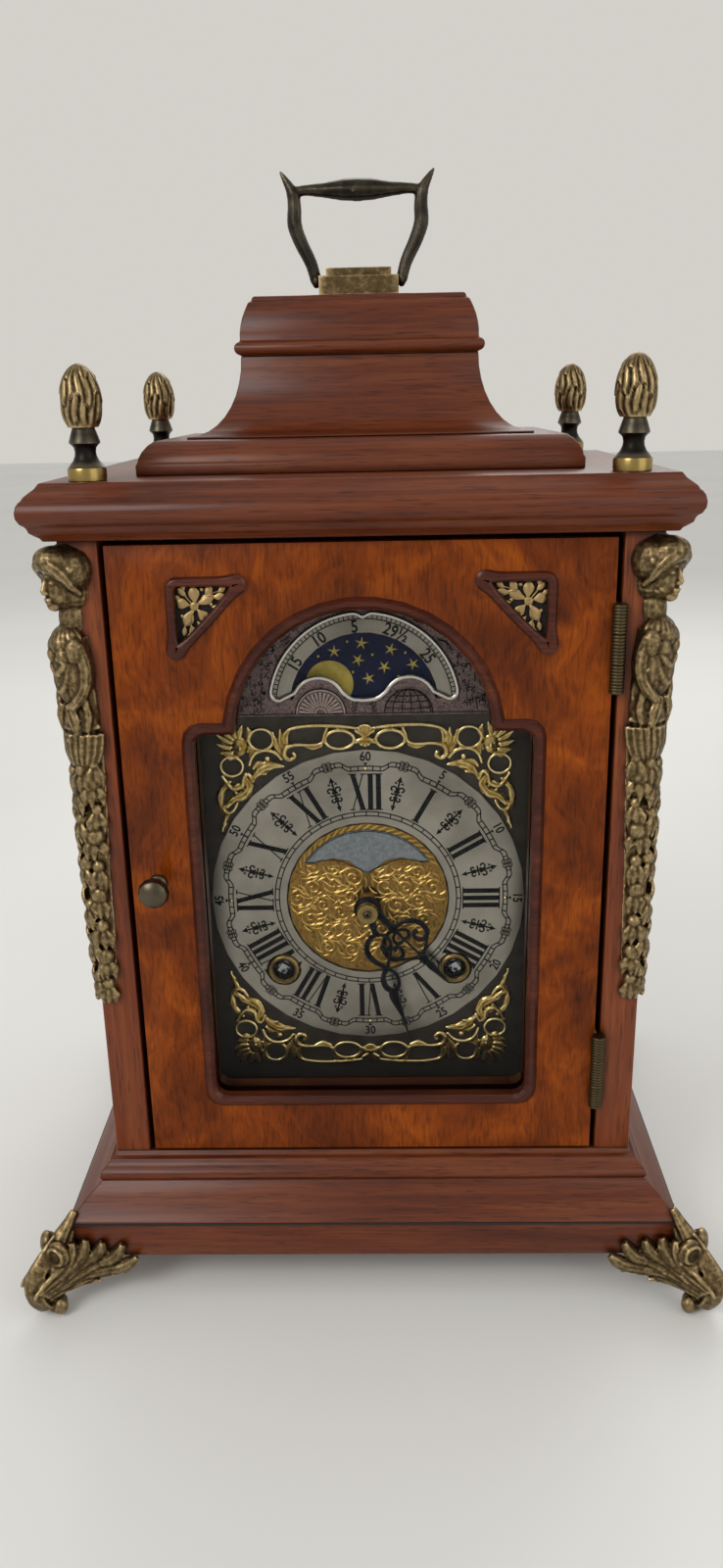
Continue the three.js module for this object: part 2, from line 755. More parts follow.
// The opening through which the moon shows: a half ring over two round humps
function moonWindow(radius, PathKind = THREE.Path) {
  const humpX = moonHumpAcross / 2;
  const lift = moonWindowFloor - moonHumpCentreHeight;
  const side = Math.sqrt(moonHumpRadius ** 2 - lift ** 2);
  const start = Math.asin(lift / moonHumpRadius);
  const edge = Math.max(humpX + side + weld, Math.sqrt(radius ** 2 - (moonWindowFloor - moonAxisHeight) ** 2));
  const rim = Math.asin((moonWindowFloor - moonAxisHeight) / radius);
  const humpArc = (x) => arcPoints(x, moonHumpCentreHeight, moonHumpRadius, Math.PI - start, start, archSteps / 3);
  const humps = [humpArc(-humpX), humpArc(humpX)];
  return new PathKind([new THREE.Vector2(-edge, moonWindowFloor), ...humps[0], ...humps[1],
    ...arcPoints(0, moonAxisHeight, radius, rim, Math.PI - rim, archSteps)]);
}

function dialPlate() {
  const half = plateHalf;
  const outline = new THREE.Shape();
  outline.moveTo(-half, dialPlateFoot);
  outline.lineTo(half, dialPlateFoot);
  outline.lineTo(half, dialPlateTop);
  outline.lineTo(-half, dialPlateTop);
  withHole(outline, 0, dialCentreHeight, centreHoleRadius);
  for (const side of [-1, 1]) {
    withHole(outline, side * windingAcross / 2, dialCentreHeight - windingDrop, bushBore + fitGap);
  }
  outline.holes.push(moonWindow(moonWindowRadius));
  const plate = frontPlate(outline, plateFace, dialPlateThickness, 6);
  const feet = [];
  for (const x of [-dialFootAcross / 2, dialFootAcross / 2]) {
    for (const z of [dialCentreHeight - dialFootDrop, dialCentreHeight + dialFootDrop]) {
      feet.push(rod(dialFootRadius, plateBack - dialPlateThickness / 2, movementFront, 6, x, z));
    }
  }
  const studEnd = moonFront + moonDiscThickness;
  const headFace = studEnd + fitGap;
  const stud = rod(moonStudRadius, plateBack - dialPlateThickness / 2, headFace, 12, 0, moonAxisHeight);
  const head = rod(moonStudRadius * 2, headFace, headFace + moonDiscThickness, 12, 0, moonAxisHeight);
  return join(plate, stud, head, ...feet);
}

function archPlate() {
  const half = archPlateHalf;
  const outline = new THREE.Shape();
  const top = dialPlateTop - archPlateFoot;
  outline.moveTo(-half, archPlateFoot);
  outline.lineTo(half, archPlateFoot);
  outline.lineTo(half, archPlateFoot + top / 3);
  outline.absarc(0, archCentreHeight, archRadius + archPlateOverlap + beadWidth, Math.PI * 0.15, Math.PI * 0.85, false);
  outline.lineTo(-half, archPlateFoot + top / 3);
  outline.holes.push(moonWindow(moonScaleRadius));
  const plate = frontPlate(outline, plateFace - archPlateThickness, archPlateThickness, 12);
  const rivet = turnedForward([[0, 0], [moonStudRadius, 0], [moonStudRadius * 0.8, moonStudRadius * 0.5],
    [0, moonStudRadius * 0.7]], 10, 0, plateFace - archPlateThickness / 2, moonAxisHeight);
  return join(plate, rivet);
}

function lunarScale() {
  const rise = moonWindowFloor - moonAxisHeight + fitGap;
  const outerFloor = Math.asin(rise / (moonScaleRadius - fitGap));
  const innerFloor = Math.asin(rise / moonWindowRadius);
  const outerRadius = moonScaleRadius - fitGap;
  const outer = arcPoints(0, moonAxisHeight, outerRadius, outerFloor, Math.PI - outerFloor, archSteps);
  const inner = arcPoints(0, moonAxisHeight, moonWindowRadius, Math.PI - innerFloor, innerFloor, archSteps);
  const face = plateFace - lunarScaleThickness;
  return frontPlate(new THREE.Shape([...outer, ...inner]), face, lunarScaleThickness);
}

function chapterRing() {
  const outline = round(0, dialCentreHeight, ringRadius);
  withHole(outline, 0, dialCentreHeight, ringInnerRadius, 2 * ringSteps);
  const ring = frontPlate(outline, dialFace, ringThickness, ringSteps);
  const holes = [-1, 1].map((side) => rod(bushRadius + fitGap, dialFace - overrun, plateFace + overrun, 20,
    side * windingAcross / 2, dialCentreHeight - windingDrop));
  return cut(ring, ...holes);
}

function centreDisc() {
  const outline = round(0, dialCentreHeight, ringInnerRadius - fitGap);
  withHole(outline, 0, dialCentreHeight, centreHoleRadius);
  const disc = frontPlate(outline, plateFace - centreDiscThickness, centreDiscThickness, 10);
  const seat = frontPlate(plaqueShape(fitGap), plateFace - overrun, overrun * 2, 8);
  return cut(disc, moved(seat, 0, 0, dialCentreHeight));
}

function windingBush(side) {
  const back = plateFace;
  const reach = ringThickness + bushProud;
  const profile = [[bushBore, 0], [bushRadius, 0], [bushRadius, reach * 0.6], [bushRadius * 0.88, reach],
    [bushBore * 1.15, reach * 0.9], [bushBore, reach * 0.6], [bushBore, 0]];
  return turnedForward(profile, 14, side * windingAcross / 2, back, dialCentreHeight - windingDrop);
}

// Corner ornament of the dial: pierced scrollwork in shares of its half width, clear of the ring
const bandShares = { upper: [1.108, 1.275, 1.2], lower: [1.153, 1.307, 1.24] };

function spandrel(upper) {
  const [lowShare, highShare, cornerShare] = upper ? bandShares.upper : bandShares.lower;
  const face = plateFace - spandrelThickness;
  const bar = spandrelBarWidth;
  const middleShare = (lowShare + highShare) / 2;
  const shapes = [round(0, middleShare * spandrelHalf, bar * 3.5)];
  const line = (shares, wide, narrow) => {
    const points = shares.map(([x, z]) => [x * spandrelHalf, z * spandrelHalf]);
    shapes.push(ribbon(points, taper(points.length, wide * bar, narrow * bar)));
  };
  const scroll = (x, z, outer, inner, start, sweep) => {
    const points = scrollPoints(x, z, outer, inner, start * Math.PI, sweep * Math.PI, 5);
    line(points, 1.1, 0.8);
  };
  line([[-0.02, lowShare], [0.3, lowShare], [0.52, lowShare - 0.01]], 1, 1);
  line([[-0.02, highShare], [0.5, highShare], [0.66, highShare - 0.03]], 1, 1);
  for (const x of [0.21, 0.42]) {
    line([[x - 0.03, lowShare], [x + 0.02, middleShare], [x - 0.03, highShare]], 1, 1);
  }
  scroll(0.57, lowShare - 0.01, 0.075, 0.03, -0.5, -1.5);
  line([[0.5, lowShare], [0.64, middleShare], [0.86, cornerShare + 0.01]], 1.2, 1.8);
  line([[0.64, highShare - 0.02], [0.84, cornerShare + 0.075], [0.975, cornerShare + 0.05]], 1.3, 1);
  shapes.push(round(0.88 * spandrelHalf, cornerShare * spandrelHalf, bar * 3));
  line([[0.9, cornerShare], [0.985, cornerShare - 0.16], [0.965, cornerShare - 0.38], [1, cornerShare - 0.68]],
    1.7, 0.8);
  line([[0.84, cornerShare], [0.86, cornerShare - 0.18], [0.96, cornerShare - 0.32]], 1.4, 1);
  scroll(0.93, cornerShare - 0.42, 0.05, 0.025, 0.2, 1.5);
  const right = join(...shapes.map((shape) => frontPlate(shape, face, spandrelThickness, 3)));
  const both = join(right, mirrored(right));
  const placed = moved(upper ? both : tidy(both.scale(1, 1, -1)), 0, 0, dialCentreHeight);
  return cut(placed, rod(ringRadius + fitGap, face - overrun, plateFace + overrun, 72, 0, dialCentreHeight));
}

// Blank name plate with a shaped lower edge, set in the centre disc
function plaqueShape(gap) {
  const half = plaqueHalf + gap;
  const radius = plaqueTopRadius + gap;
  const tip = Math.sqrt(radius ** 2 - half ** 2);
  const rise = Math.asin(tip / radius);
  const low = tip - 2 * gap;
  const crestShares = [[-0.8, 0.99], [-0.55, 1.09], [-0.3, 1.02], [-0.12, 0.8]];
  const left = crestShares.map(([x, z]) => new THREE.Vector2(x * half, z * tip - gap));
  const right = crestShares.map(([x, z]) => new THREE.Vector2(-x * half, z * tip - gap)).reverse();
  const top = arcPoints(0, 0, radius, rise, Math.PI - rise, ringSteps / 2);
  const middle = new THREE.Vector2(0, plaqueFootRise - gap);
  return new THREE.Shape([new THREE.Vector2(half, low), ...top, new THREE.Vector2(-half, low), ...left, middle,
    ...right]);
}

function namePlaque() {
  const face = plateFace - plaqueThickness;
  return moved(frontPlate(plaqueShape(0), face, plaqueThickness, 8), 0, 0, dialCentreHeight);
}

// Hands, drawn upright and turned about the dial's centre
function handPlate(pieces, lift, turnDegrees) {
  const face = dialFace - lift - handThickness;
  const whole = join(...pieces.map((shape) => frontPlate(shape, face, handThickness, 4)));
  return moved(whole.rotateY(THREE.MathUtils.degToRad(turnDegrees)), 0, 0, dialCentreHeight);
}

function openRing(x, z, radius, width) {
  return withHole(round(x, z, radius + width / 2), x, z, radius - width / 2);
}

function hourHand() {
  const long = hourHandLength;
  const hub = withHole(round(0, 0, hourHubRadius), 0, 0, hourPipeRadius + fitGap / 3);
  const wire = long * 0.034;
  const blade = [[0, 0.09], [0, 0.2], [0, 0.34]].map(([x, z]) => [x * long, z * long]);
  const pieces = [hub, ribbon(blade, [wire * 2, wire * 1.3, wire * 2]),
    openRing(0, 0.41 * long, 0.075 * long, wire),
    openRing(-0.12 * long, 0.47 * long, 0.055 * long, wire),
    openRing(0.12 * long, 0.47 * long, 0.055 * long, wire),
    ribbon([[-0.15, 0.52], [-0.07, 0.56], [0, 0.62]].map(([x, z]) => [x * long, z * long]), [wire, wire, wire]),
    ribbon([[0.15, 0.52], [0.07, 0.56], [0, 0.62]].map(([x, z]) => [x * long, z * long]), [wire, wire, wire]),
    ribbon([[0, 0.46], [0, 0.62], [0, 0.7], [0, 1]].map(([x, z]) => [x * long, z * long]),
      [wire, wire * 1.4, wire * 1.9, wire * 0.35])];
  return handPlate(pieces, hourHandLift, hourHandTurn);
}

function minuteHand() {
  const long = minuteHandLength;
  const hub = withHole(round(0, 0, minuteHubRadius), 0, 0, minutePipeRadius + fitGap / 3);
  const wire = long * 0.03;
  const pieces = [hub,
    ribbon([[0, 0.05], [0, 0.14], [0.01, 0.2]].map(([x, z]) => [x * long, z * long]), [wire * 2, wire, wire]),
    openRing(0.015 * long, 0.3 * long, 0.1 * long, wire * 1.15),
    ribbon(scrollPoints(0.03 * long, 0.3 * long, 0.1 * long, 0.03 * long, Math.PI * 0.5, -Math.PI * 1.3, 8),
      taper(9, wire, wire * 0.9)),
    ribbon([[0, 0.38], [-0.01, 0.44], [0, 0.5]].map(([x, z]) => [x * long, z * long]), [wire, wire * 1.8, wire]),
    openRing(0, 0.545 * long, 0.055 * long, wire * 1.1),
    ribbon([[0, 0.58], [0, 0.64], [0, 0.72], [0, 1]].map(([x, z]) => [x * long, z * long]),
      [wire * 1.5, wire * 1.7, wire * 1.3, wire * 0.3])];
  return handPlate(pieces, minuteHandLift, minuteHandTurn);
}

function handNut() {
  const back = dialFace - minuteHandLift - handThickness;
  const shares = [[0, 0], [1, 0], [1, 0.55], [0.86, 0.74], [0.5, 0.84], [0.34, 0.86], [0.3, 1], [0, 1]];
  const bore = rod(minutePipeRadius * 0.6 + fitGap, back - nutLength * 0.7, back + overrun, 8, 0, dialCentreHeight);
  const body = turnedForward(shares.map(([r, h]) => [r * nutRadius, h * nutLength]), 12, 0, back, dialCentreHeight);
  return cut(body, bore);
}

// Wheels, with straight-sided teeth whose play keeps them clear through every turn
function gearShape(teeth, module, phase, boreRadius) {
  const pitchRadius = teeth * module / 2;
  const tip = pitchRadius + 0.85 * module;
  const root = pitchRadius - 1.15 * module;
  const step = 2 * Math.PI / teeth;
  const flankShares = [[-0.26, root], [-0.1, tip], [0.1, tip], [0.26, root]];
  const points = [];
  for (let k = 0; k < teeth; k += 1) {
    for (const [share, radius] of flankShares) {
      const angle = phase + (k + share) * step;
      points.push(new THREE.Vector2(radius * Math.cos(angle), radius * Math.sin(angle)));
    }
  }
  return withHole(new THREE.Shape(points), 0, 0, boreRadius);
}

const cannonFront = movementFront - motionLevelGap - motionWheelThickness;
const hourWheelFront = cannonFront - motionLevelGap - motionWheelThickness;

function cannonPinion() {
  const pinionTeeth = frontPlate(gearShape(cannonTeeth, minuteModule, 0, arborRadius * 0.5),
    cannonFront, motionWheelThickness, 4);
  const pipeEnd = dialFace - minuteHandLift - handThickness;
  const pieces = [rod(arborRadius, cannonFront, movementBack + movementPlate, 8, 0, 0),
    rod(minutePipeRadius, pipeEnd, cannonFront + motionWheelThickness, 10, 0, 0),
    rod(minutePipeRadius * 0.6, pipeEnd - nutLength * 0.6, pipeEnd + overrun, 8, 0, 0)];
  return moved(join(pinionTeeth, ...pieces), 0, 0, dialCentreHeight);
}

function minuteWheel() {
  const bore = arborRadius + fitGap;
  const wheel = frontPlate(gearShape(minuteWheelTeeth, minuteModule, Math.PI / minuteWheelTeeth, bore),
    cannonFront, motionWheelThickness, 4);
  const pinion = frontPlate(gearShape(minutePinionTeeth, hourModule, Math.PI / minutePinionTeeth, bore),
    hourWheelFront, motionWheelThickness + motionLevelGap, 4);
  return moved(join(wheel, pinion), motionCentres, 0, dialCentreHeight);
}

function hourWheel() {
  const bore = minutePipeRadius + runGap;
  const wheel = frontPlate(gearShape(hourWheelTeeth, hourModule, 0, bore), hourWheelFront, motionWheelThickness, 5);
  const pipeEnd = dialFace - hourHandLift - handThickness;
  const pipe = frontPlate(withHole(round(0, 0, hourPipeRadius), 0, 0, bore), pipeEnd,
    hourWheelFront + motionWheelThickness - pipeEnd, 5);
  return moved(join(wheel, pipe), 0, 0, dialCentreHeight);
}

function moonDisc() {
  const points = [];
  for (let k = 0; k < moonTeeth; k += 1) {
    for (const [share, radius] of [[0, moonDiscRadius - moonToothHeight], [0.6, moonDiscRadius]]) {
      const angle = (k + share) * 2 * Math.PI / moonTeeth;
      points.push(new THREE.Vector2(radius * Math.cos(angle), radius * Math.sin(angle)));
    }
  }
  const outline = withHole(new THREE.Shape(points), 0, 0, moonStudRadius + runGap);
  return moved(frontPlate(outline, moonFront, moonDiscThickness, 5), 0, 0, moonAxisHeight);
}

// Movement: two plates on pillars with winding drums, a bell, a hammer and a balance
function movementSheet(face) {
  const half = movementWidth / 2;
  const outline = new THREE.Shape();
  outline.moveTo(-half, movementFoot);
  outline.lineTo(half, movementFoot);
  outline.lineTo(half, movementHead);
  outline.lineTo(-half, movementHead);
  withHole(outline, 0, dialCentreHeight, arborRadius + runGap);
  withHole(outline, hammerAcross, movementHead - hammerDrop, arborRadius + runGap);
  for (const side of [-1, 1]) {
    withHole(outline, side * windingAcross / 2, dialCentreHeight - windingDrop, windingArborRadius + runGap);
  }
  return frontPlate(outline, face, movementPlate, 3);
}

function movementFrontPlate() {
  const stud = rod(arborRadius, hourWheelFront - motionLevelGap, movementFront + movementPlate / 2, 12,
    motionCentres, dialCentreHeight);
  return join(movementSheet(movementFront), stud);
}

function movementBackPlate() {
  const half = movementWidth / 2;
  const pieces = [movementSheet(movementBack - movementPlate)];
  for (const x of [-half + pillarInset, half - pillarInset]) {
    for (const z of [movementFoot + pillarInset, movementHead - pillarInset]) {
      pieces.push(rod(pillarRadius, movementFront + movementPlate, movementBack - movementPlate / 2, 6, x, z));
    }
  }
  pieces.push(block(-bellStandRadius, bellStandRadius, movementBack - movementPlate / 2, bellY + bellStandRadius,
    movementHead - 2 * bellStandRadius, movementHead));
  const postLong = bellLiftHeight + bellHeight;
  const post = new THREE.CylinderGeometry(bellStandRadius, bellStandRadius, postLong, 8).rotateX(Math.PI / 2);
  pieces.push(moved(post, 0, bellY, movementHead - bellStandRadius + postLong / 2));
  const cockX = -balanceAcross - balanceRadius - pillarRadius - balanceRimWidth;
  const balanceZ = movementHead - balanceDrop;
  const cockFace = movementBack + balanceCockReach;
  pieces.push(rod(pillarRadius, movementBack - movementPlate / 2, cockFace, 6, cockX, balanceZ));
  const arm = block(cockX, -balanceAcross + pillarRadius, cockFace - movementPlate, cockFace,
    balanceZ - pillarRadius / 2, balanceZ + pillarRadius / 2);
  const bore = rod(arborRadius / 2 + runGap, cockFace - movementPlate - overrun, cockFace + overrun, 10,
    -balanceAcross, balanceZ);
  return join(...pieces, cut(arm, bore));
}

function bell() {
  const foot = movementHead + bellLiftHeight;
  const outerShares = [[1, 0], [0.97, 0.15], [0.87, 0.45], [0.68, 0.7], [0.2, 0.96]];
  const outer = outerShares.map(([r, h]) => [r * bellRadius, foot + h * bellHeight]);
  const inner = outerShares.map(([r, h]) => [r * bellRadius - bellWallThickness, foot + h * (bellHeight - bellWallThickness)]);
  const crown = foot + bellHeight;
  const standTop = movementHead - bellStandRadius + bellLiftHeight + bellHeight;
  const nut = bellStandRadius * 1.6;
  const profile = [[0, standTop], [nut, standTop], ...inner.reverse(), ...outer, [nut, crown],
    [nut, crown + bellWallThickness], [0, crown + bellWallThickness * 2]];
  return moved(turned(profile, 16), 0, bellY, 0);
}

function hammer() {
  const pivotZ = movementHead - hammerDrop;
  const headX = bellRadius + hammerGap + hammerHeadLength / 2;
  const headZ = movementHead + bellLiftHeight + hammerHeadRadius;
  const stalkLong = Math.hypot(hammerAcross - headX, headZ - pivotZ);
  const stalk = new THREE.CylinderGeometry(arborRadius * 0.7, arborRadius * 0.7, stalkLong, 8);
  stalk.translate(0, stalkLong / 2, 0).rotateX(Math.PI / 2).rotateY(Math.atan2(headX - hammerAcross, headZ - pivotZ));
  const head = new THREE.CylinderGeometry(hammerHeadRadius, hammerHeadRadius, hammerHeadLength, 12);
  const collar = rod(arborRadius * 2, bellY - hammerHeadRadius, bellY + hammerHeadRadius, 10, hammerAcross, pivotZ);
  return join(rod(arborRadius, movementFront, bellY, 10, hammerAcross, pivotZ), collar,
    moved(stalk, hammerAcross, bellY, pivotZ), moved(head.rotateZ(Math.PI / 2), headX, bellY, headZ));
}

function balanceWheel() {
  const face = movementBack + balanceCockReach / 2 - movementPlate;
  const thick = movementPlate / 2;
  const rim = frontPlate(openRing(0, 0, balanceRadius, balanceRimWidth), face, thick, 5);
  const arm = block(-balanceRadius, balanceRadius, face, face + thick, -balanceRimWidth / 3, balanceRimWidth / 3);
  const staff = rod(arborRadius / 2, movementBack + runGap, movementBack + balanceCockReach, 8, 0, 0);
  const hub = rod(arborRadius * 1.5, face - thick / 2, face + movementPlate, 8, 0, 0);
  return moved(join(rim, arm, staff, hub), -balanceAcross, 0, movementHead - balanceDrop);
}

// A winding arbor with its square, its cord drum between the plates and its ratchet behind them
function windingArbor(side) {
  const mouth = dialFace + ringThickness / 2;
  const half = windingSquare / 2;
  const square = block(-half, half, mouth, plateBack + overrun, -half, half);
  square.rotateY(side * Math.PI / 16);
  const teeth = [];
  for (let k = 0; k < ratchetTeeth; k += 1) {
    for (const [share, radius] of [[0, ratchetRadius * 0.86], [0.85, ratchetRadius]]) {
      const angle = (k + share) * 2 * Math.PI / ratchetTeeth;
      teeth.push(new THREE.Vector2(radius * Math.cos(angle), radius * Math.sin(angle)));
    }
  }
  const ratchetFace = movementBack + motionLevelGap;
  const ratchet = frontPlate(new THREE.Shape(teeth), ratchetFace, movementPlate);
  const drumFront = (movementFront + movementBack - drumLength) / 2;
  const drumBack = drumFront + drumLength;
  const pieces = [rod(windingArborRadius, plateBack, ratchetFace + movementPlate, 12, 0, 0), square, ratchet,
    rod(drumRadius, drumFront, drumBack, 14, 0, 0), rod(drumRimRadius, drumFront, drumFront + drumRimWidth, 14, 0, 0),
    rod(drumRimRadius, drumBack - drumRimWidth, drumBack, 14, 0, 0)];
  return moved(join(...pieces), side * windingAcross / 2, 0, dialCentreHeight - windingDrop);
}

// Brass mounts
function finial() {
  const shares = [[0, 0], [0.98, 0], [0.98, 0.09], [0.8, 0.125], [0.5, 0.26], [0.78, 0.345], [0.55, 0.46],
    [0.72, 0.53], [0.97, 0.66], [1, 0.75], [0.9, 0.87], [0.55, 0.97], [0, 1]];
  return turned(shares.map(([r, h]) => [r * finialRadius, corniceTop + h * finialHeight]), 9);
}

// A handle plate in two steps, bored along X for the bail's pins
function handlePlate() {
  const lower = block(-plateWidth / 2, plateWidth / 2, -plateDepth / 2, plateDepth / 2, capTop, capTop + plateHeight);
  const upperTop = capTop + plateHeight + plateStepHeight;
  const upper = block(-plateStepWidth / 2, plateStepWidth / 2, -plateStepDepth / 2, plateStepDepth / 2,
    capTop + plateHeight / 2, upperTop);
  const bore = new THREE.CylinderGeometry(bailPinRadius + fitGap, bailPinRadius + fitGap, bailPinReach + overrun, 12);
  const boreX = plateWidth / 2 - bailPinReach + (bailPinReach + overrun) / 2;
  const tools = [-1, 1].map((side) => moved(bore.clone().rotateZ(Math.PI / 2), side * boreX, 0, pivotHeight));
  return cut(join(lower, upper), ...tools);
}

// The bail: two swan-necked arms with horns, joined by a swelling grip
const bailTopShares = [[0, 0.935], [0.25, 0.9], [0.45, 0.87], [0.68, 0.875], [0.86, 0.925]];
const bailOuterShares = [[1, 1], [0.925, 0.78], [0.91, 0.66], [0.935, 0.52], [0.85, 0.32], [0.745, 0.235], [0.65, 0]];
const bailInnerShares = [[0.535, 0], [0.535, 0.16], [0.67, 0.4], [0.715, 0.54], [0.69, 0.72], [0.6, 0.77],
  [0.45, 0.765], [0.15, 0.705], [0, 0.7]];

function handleBail() {
  const half = bailWidth / 2;
  const right = [...bailTopShares, ...bailOuterShares, ...bailInnerShares];
  const left = right.slice(1, -1).reverse().map(([x, z]) => [-x, z]);
  const points = [...right, ...left].map(([x, z]) => new THREE.Vector2(x * half, pivotHeight + z * bailHeight));
  const pieces = [frontPlate(new THREE.Shape(points), -bailThickness / 2, bailThickness, 4, bailEdge)];
  const grip = new THREE.SphereGeometry(bailGripRadius, 10, 6).rotateZ(Math.PI / 2);
  pieces.push(moved(grip.scale(half * 0.62 / bailGripRadius, 1, 1), 0, 0, pivotHeight + bailHeight * 0.82));
  const eyeX = plateWidth / 2 + runGap + bailEyeWidth / 2;
  for (const side of [-1, 1]) {
    const eye = new THREE.CylinderGeometry(bailEyeRadius, bailEyeRadius, bailEyeWidth, 12).rotateZ(Math.PI / 2);
    pieces.push(moved(eye, side * eyeX, 0, pivotHeight));
    const pinLong = bailPinReach + bailEyeWidth / 2;
    const pin = new THREE.CylinderGeometry(bailPinRadius, bailPinRadius, pinLong, 8).rotateZ(Math.PI / 2);
    pieces.push(moved(pin, side * (eyeX - pinLong / 2), 0, pivotHeight));
  }
  return join(...pieces);
}

// Front corner figure: a draped bust above a bunched festoon, hollowed to sit on the case's corner
const bustShares = [[0.55, 1, 0.58], [0.585, 1.1, 0.58], [0.62, 0.98, 0.58], [0.66, 1, 0.58], [0.72, 1.04, 0.58],
  [0.765, 1.1, 0.57], [0.8, 1.14, 0.56], [0.825, 1.08, 0.52], [0.845, 0.82, 0.44], [0.86, 0.58, 0.3],
  [0.9, 0.58, 0.2]];
const festoonTopShare = 0.53;
const festoonBunches = 7;

function cornerFigure(side) {
  const low = caseHead - figureHeight;
  const festoonShares = [[0, 0.45, 0.5]];
  for (let k = 0; k < 2 * festoonBunches; k += 1) {
    const swell = k % 2 === 0 ? 0.98 : 0.87;
    const growth = Math.min(1, 0.86 + 0.05 * k);
    festoonShares.push([0.012 + festoonTopShare * k / (2 * festoonBunches - 1), swell * growth, 0.58]);
  }
  const steps = 10;
  const loops = [...festoonShares, ...bustShares].map(([up, reach, inset]) => {
    const loop = [];
    for (let k = 0; k < steps; k += 1) {
      const angle = (k + 0.5) / steps * 2 * Math.PI;
      loop.push([halfWidth + figureReach * (reach * Math.cos(angle) - inset),
        frontFace + figureReach * (reach * Math.sin(angle) + inset), low + up * figureHeight]);
    }
    return loop;
  });
  const skull = new THREE.SphereGeometry(headReach, 10, 7).rotateX(Math.PI / 2);
  const face = new THREE.SphereGeometry(headReach, 8, 6).rotateX(Math.PI / 2).scale(0.68, 0.68, 0.84);
  const out = headReach * 0.06;
  const lean = headReach * 0.3;
  const headZ = caseHead - headReach * 1.1;
  const head = join(moved(skull, halfWidth + out, frontFace - out, headZ),
    moved(face, halfWidth + lean, frontFace - lean, headZ - headReach * 0.85));
  const corner = block(-halfWidth, halfWidth + fitGap, frontFace - fitGap, halfDepth, caseFoot, caseHead + overrun);
  const above = block(-halfWidth * 2, halfWidth * 2, -caseDepth, caseDepth, caseHead - fitGap, corniceTop);
  const figure = cut(join(loft(loops), head), corner, above);
  return side > 0 ? figure : mirrored(figure);
}

// Bracket foot: a scrolled knee on the corner with a leaf along each side of the plinth
function foot(sideX, sideY) {
  const kneeShares = [[-0.3, 1], [-0.1, 0.97], [0.19, 0.885], [0.42, 0.815], [0.52, 0.744], [0.8, 0.617], [1, 0.45],
    [0.99, 0.36], [0.83, 0.17], [0.64, 0.02], [0.55, 0], [0.34, 0], [0.27, 0.07], [0.45, 0.235], [0.37, 0.34],
    [0.1, 0.46], [-0.3, 0.55]];
  const knee = new THREE.Shape(kneeShares.map(([s, z]) => new THREE.Vector2(s * footReach, z * footTop)));
  const cornerX = halfWidth + plinthProjection;
  const cornerY = halfDepth + plinthProjection;
  const spine = frontPlate(knee, -footWidth / 2, footWidth, 1, footWidth * 0.22);
  spine.rotateZ(Math.PI / 4).translate(cornerX, cornerY, 0);
  const wingShares = [[-0.05, 0.82], [0.15, 0.77], [0.3, 0.7], [0.38, 0.62], [0.5, 0.65], [0.6, 0.58], [0.83, 0.65],
    [0.98, 0.5], [0.98, 0.4], [0.78, 0.44], [0.66, 0.345], [0.55, 0.37], [0.31, 0.224], [-0.05, 0.3]];
  const wing = new THREE.Shape(wingShares.map(([s, z]) => new THREE.Vector2(-s * footWing, z * footTop)));
  const leaf = frontPlate(wing, fitGap / 2, footWingThickness);
  const boss = new THREE.CylinderGeometry(footBossRadius * 0.8, footBossRadius, footWingThickness, 8);
  boss.translate(-footWing * 0.17, footWingThickness, footTop * 0.53);
  const side = join(leaf, boss);
  const across = tidy(side.clone().rotateZ(Math.PI / 2).scale(-1, 1, 1));
  const plinth = mitred(halfWidth + fitGap, halfDepth + fitGap, [[plinthProjection, footClearance - fitGap],
    ...plinthProfile()], false);
  const whole = cut(join(spine, moved(side, cornerX, cornerY, 0), moved(across, cornerX, cornerY, 0)), plinth);
  return tidy(whole.clone().scale(sideX, sideY, 1));
}

// Finishes
function finish(color, roughness, metalness, opacity = 1) {
  return () => new THREE.MeshStandardMaterial({ color, roughness, metalness, opacity, transparent: opacity < 1 });
}

const mahogany = finish(0x6b3220, 0.45, 0);
const burr = finish(0x9a5424, 0.35, 0);
const antiqueBrass = finish(0x6f6140, 0.45, 0.9);
const giltBrass = finish(0xc9a95a, 0.35, 0.9);
const silvered = finish(0xa3a39c, 0.5, 0.7);
const darkBrass = finish(0x3b3228, 0.6, 0.4);
const blackSteel = finish(0x17181a, 0.4, 0.6);
const rolledBrass = finish(0xb3924a, 0.4, 0.9);
const plainSteel = finish(0x8d9096, 0.35, 0.9);
const clearGlass = finish(0xdfe6e6, 0.05, 0, 0.25);
const nightBlue = finish(0x141a3a, 0.5, 0.1);
const pewter = finish(0x59515a, 0.5, 0.6);

const clock = new THREE.Group();
clock.name = 'table_clock';

function put(name, geometry, surface) {
  const clean = tidy(geometry);
  clean.computeVertexNormals();
  const mesh = new THREE.Mesh(clean, surface());
  mesh.name = name;
  clock.add(mesh);
}

put('base_plinth', basePlinth(), mahogany);
put('bottom_board', bottomBoard(), mahogany);
put('case_side_left', caseSideLeft(), mahogany);
put('case_side_right', mirrored(caseSideLeft()), mahogany);
put('top_cornice', topCornice(), mahogany);
put('caddy_step', caddyStep(), mahogany);
put('caddy_cove', caddyCove(), mahogany);
put('caddy_cap', caddyCap(), mahogany);
put('handle_plate', handlePlate(), antiqueBrass);
put('handle_bail', handleBail(), antiqueBrass);
for (const [name, sideX, sideY] of [['front_left', -1, -1], ['front_right', 1, -1], ['rear_left', -1, 1],
  ['rear_right', 1, 1]]) {
  put(`foot_${name}`, foot(sideX, sideY), antiqueBrass);
  const x = halfWidth - finialSideInset;
  const y = halfDepth - finialFrontInset;
  put(`finial_${name}`, moved(finial(), sideX * x, sideY * y, 0), antiqueBrass);
}
put('corner_figure_left', cornerFigure(-1), antiqueBrass);
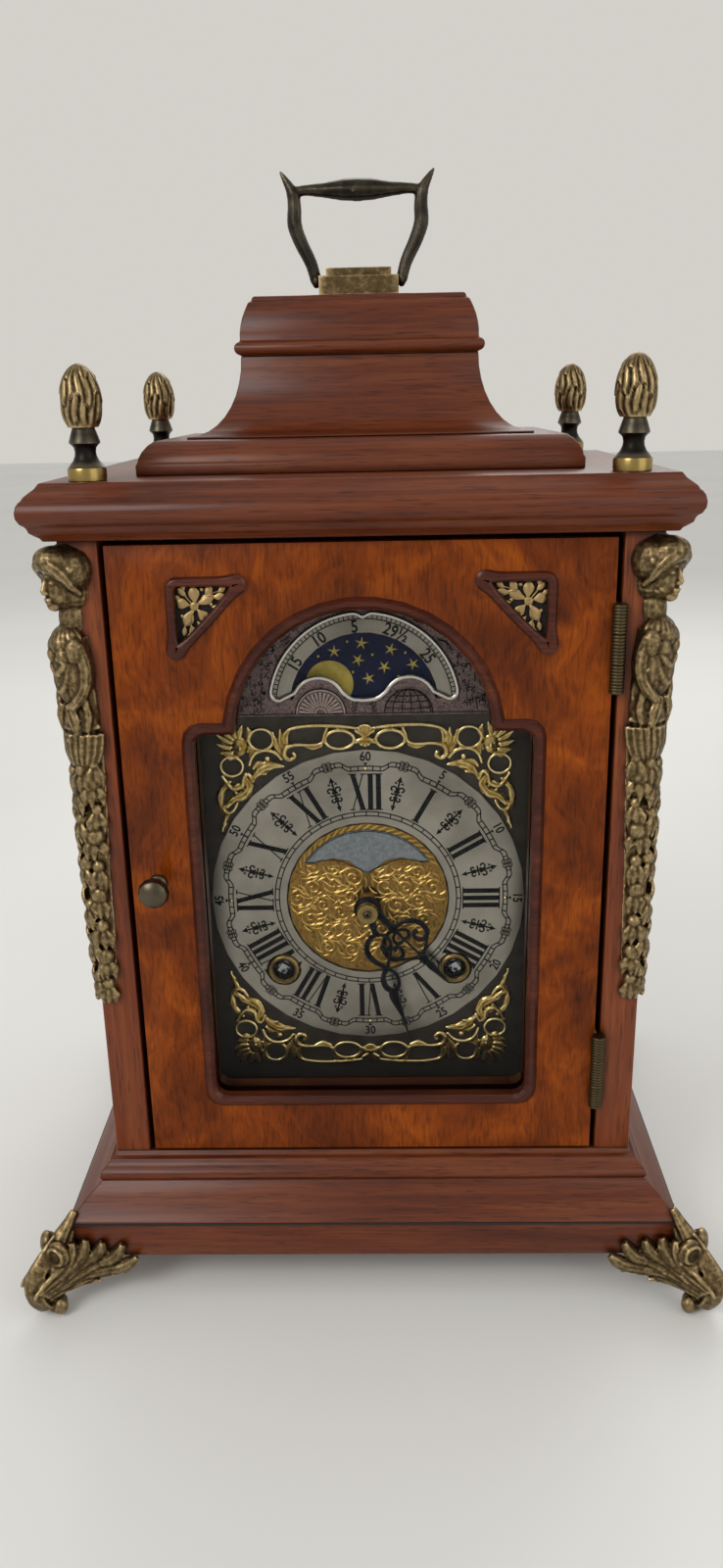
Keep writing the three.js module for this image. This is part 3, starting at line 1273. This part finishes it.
put('corner_figure_right', cornerFigure(1), antiqueBrass);
put('dial_frame', dialFrame(), mahogany);
put('dial_plate', dialPlate(), darkBrass);
put('arch_plate', archPlate(), pewter);
put('lunar_scale', lunarScale(), silvered);
put('chapter_ring', chapterRing(), silvered);
put('centre_disc', centreDisc(), giltBrass);
put('name_plaque', namePlaque(), silvered);
put('spandrel_upper', spandrel(true), giltBrass);
put('spandrel_lower', spandrel(false), giltBrass);
put('winding_bush_left', windingBush(-1), giltBrass);
put('winding_bush_right', windingBush(1), giltBrass);
put('hinge_case_upper', frontHinge(hingeUpperHeight, true), antiqueBrass);
put('hinge_case_lower', frontHinge(hingeLowerHeight, true), antiqueBrass);
put('door_frame', doorFrame(), burr);
put('door_moulding', doorMoulding(), mahogany);
put('door_glass', doorGlass(), clearGlass);
put('glazing_bead', glazingBead(), mahogany);
put('fret_left', fretLeft(), antiqueBrass);
put('fret_right', mirrored(fretLeft()), antiqueBrass);
put('door_knob', turnedForward(knob(knobRadius, knobReach), 12, -doorHalf + knobInset, frontFace, knobHeight),
  antiqueBrass);
put('hinge_door_upper', frontHinge(hingeUpperHeight, false), antiqueBrass);
put('hinge_door_lower', frontHinge(hingeLowerHeight, false), antiqueBrass);
put('rear_door', rearDoor(), mahogany);
put('rear_door_knob', tidy(turnedForward(knob(rearKnobRadius, rearKnobReach), 10, 0, 0, 0).rotateZ(Math.PI)
  .translate(-innerHalf + rearKnobInset, halfDepth, (caseFoot + caseHead) / 2)), antiqueBrass);
put('rear_hinge_case', rearHinge(true), rolledBrass);
put('rear_hinge_door', rearHinge(false), rolledBrass);
put('movement_front_plate', movementFrontPlate(), rolledBrass);
put('movement_back_plate', movementBackPlate(), rolledBrass);
put('winding_arbor_left', windingArbor(-1), plainSteel);
put('winding_arbor_right', windingArbor(1), plainSteel);
put('bell', bell(), rolledBrass);
put('hammer', hammer(), plainSteel);
put('balance_wheel', balanceWheel(), rolledBrass);
put('cannon_pinion', cannonPinion(), plainSteel);
put('minute_hand', minuteHand(), blackSteel);
put('hand_nut', handNut(), antiqueBrass);
put('minute_wheel', minuteWheel(), rolledBrass);
put('hour_wheel', hourWheel(), rolledBrass);
put('hour_hand', hourHand(), blackSteel);
put('moon_disc', moonDisc(), nightBlue);

export default clock;
